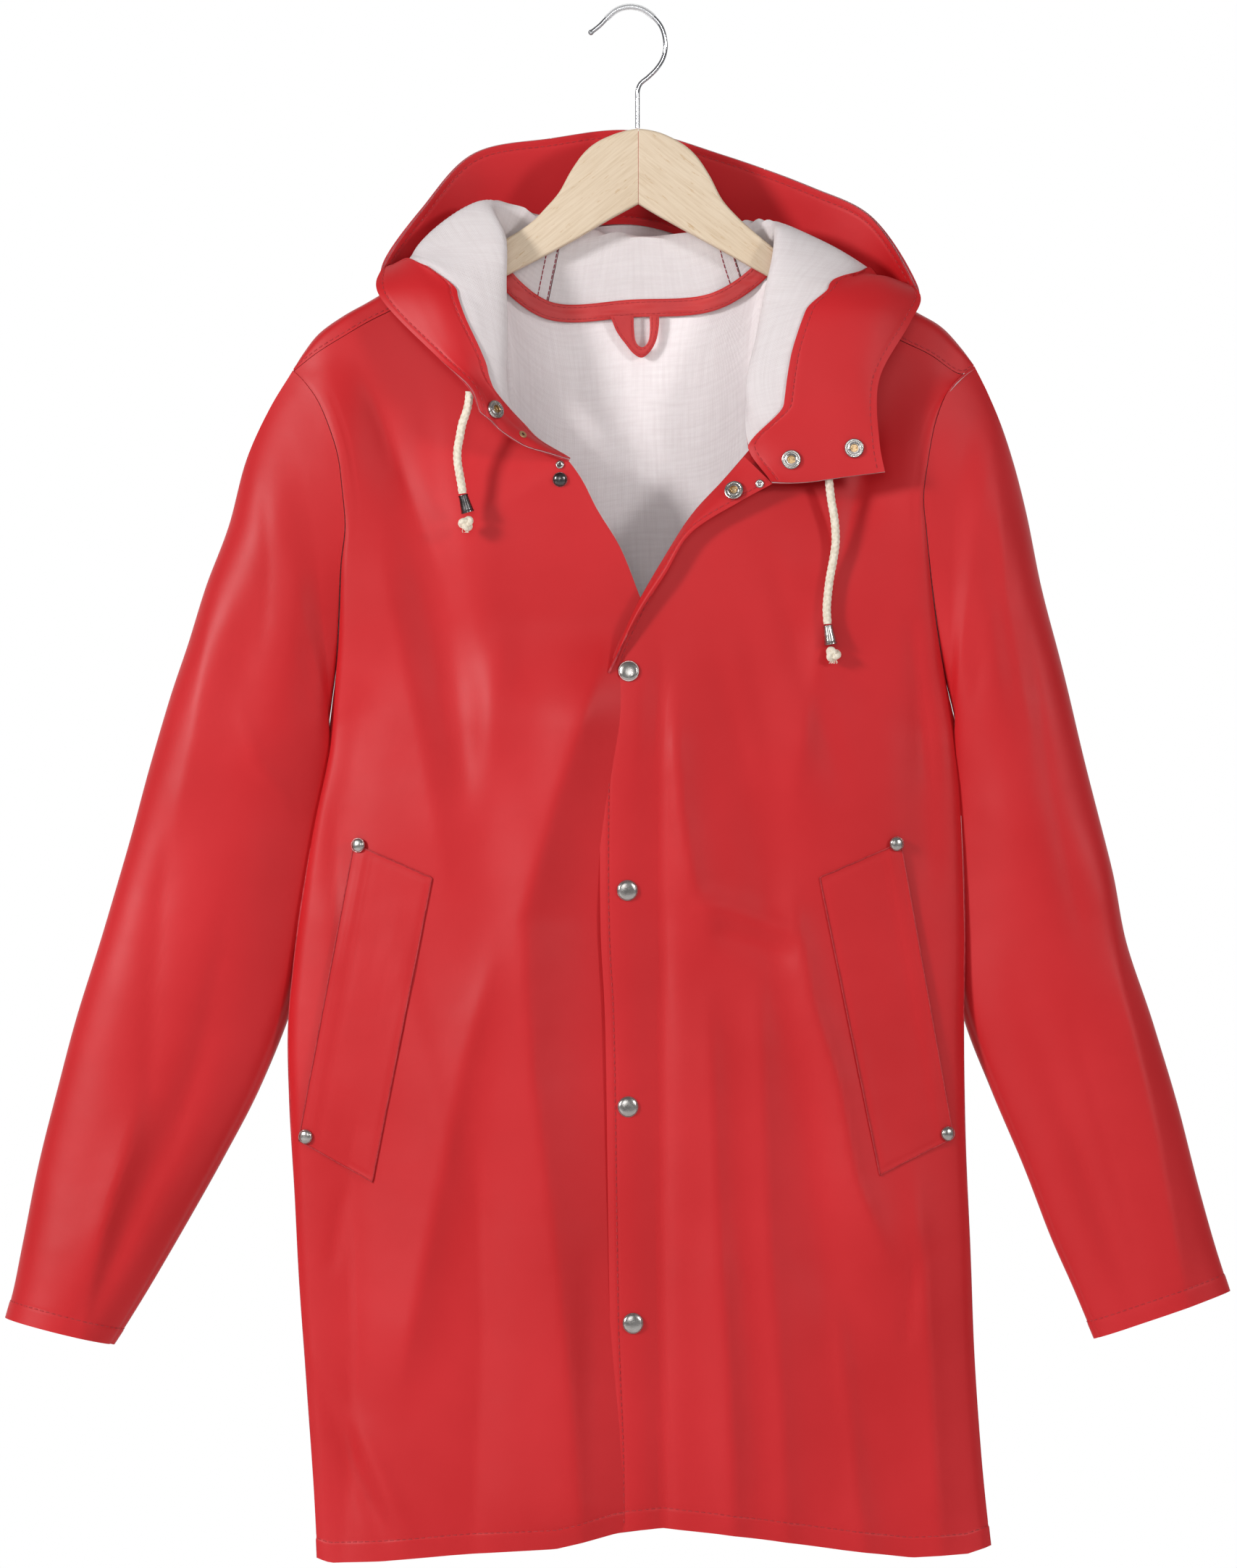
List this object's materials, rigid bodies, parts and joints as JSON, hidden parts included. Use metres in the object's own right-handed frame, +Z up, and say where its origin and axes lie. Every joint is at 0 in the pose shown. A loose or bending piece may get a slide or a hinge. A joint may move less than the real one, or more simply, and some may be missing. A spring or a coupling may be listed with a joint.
{
  "type": "hooded raincoat on a hanger",
  "caption": "Thigh-length hooded raincoat of rubberised cotton, snap front half open at the throat, hung on a flat wooden hanger with a wire hook.",
  "frame": {"origin": "inside top of the hanger's hook, where a rail would carry it", "axes": "+Z up, front towards -Y, +X towards the viewer's right (the wearer's left)"},
  "size_m": [0.8822, 0.1313, 1.1157],
  "materials": {
    "coat_cloth": "satin",
    "cord_cotton": "matte",
    "fitting_metal": "satin",
    "hanger_wood": "satin",
    "hook_wire": "gloss",
    "clear_sleeve": "gloss"
  },
  "bodies": {
    "root": {"front_under": "coat_cloth", "front_over": "coat_cloth", "back_panel": "coat_cloth", "sleeve_left": "coat_cloth", "sleeve_right": "coat_cloth", "hood_side_left": "coat_cloth", "hood_middle": "coat_cloth", "hood_side_right": "coat_cloth", "hood_facing": "coat_cloth", "neck_tape": "coat_cloth", "hanging_loop": "coat_cloth", "front_lapel": "coat_cloth", "pocket_left": "coat_cloth", "pocket_right": "coat_cloth", "pocket_rivet_1": "fitting_metal", "pocket_rivet_2": "fitting_metal", "pocket_rivet_3": "fitting_metal", "pocket_rivet_4": "fitting_metal", "snap_cap_1": "fitting_metal", "snap_cap_2": "fitting_metal", "snap_cap_3": "fitting_metal", "snap_cap_4": "fitting_metal", "snap_socket_1": "fitting_metal", "snap_socket_2": "fitting_metal", "snap_socket_3": "fitting_metal", "snap_socket_4": "fitting_metal", "snap_stud": "fitting_metal", "eyelet_1": "fitting_metal", "eyelet_2": "fitting_metal", "eyelet_3": "fitting_metal", "cord_eyelet_left": "fitting_metal", "cord_left": "cord_cotton", "cord_end_left": "fitting_metal", "cord_knot_left": "cord_cotton", "cord_eyelet_right": "fitting_metal", "cord_right": "cord_cotton", "cord_end_right": "fitting_metal", "cord_knot_right": "cord_cotton", "hanger_arm_left": "hanger_wood", "hanger_arm_right": "hanger_wood", "hook": "hook_wire", "hook_sleeve": "clear_sleeve"}
  },
  "joints": []
}
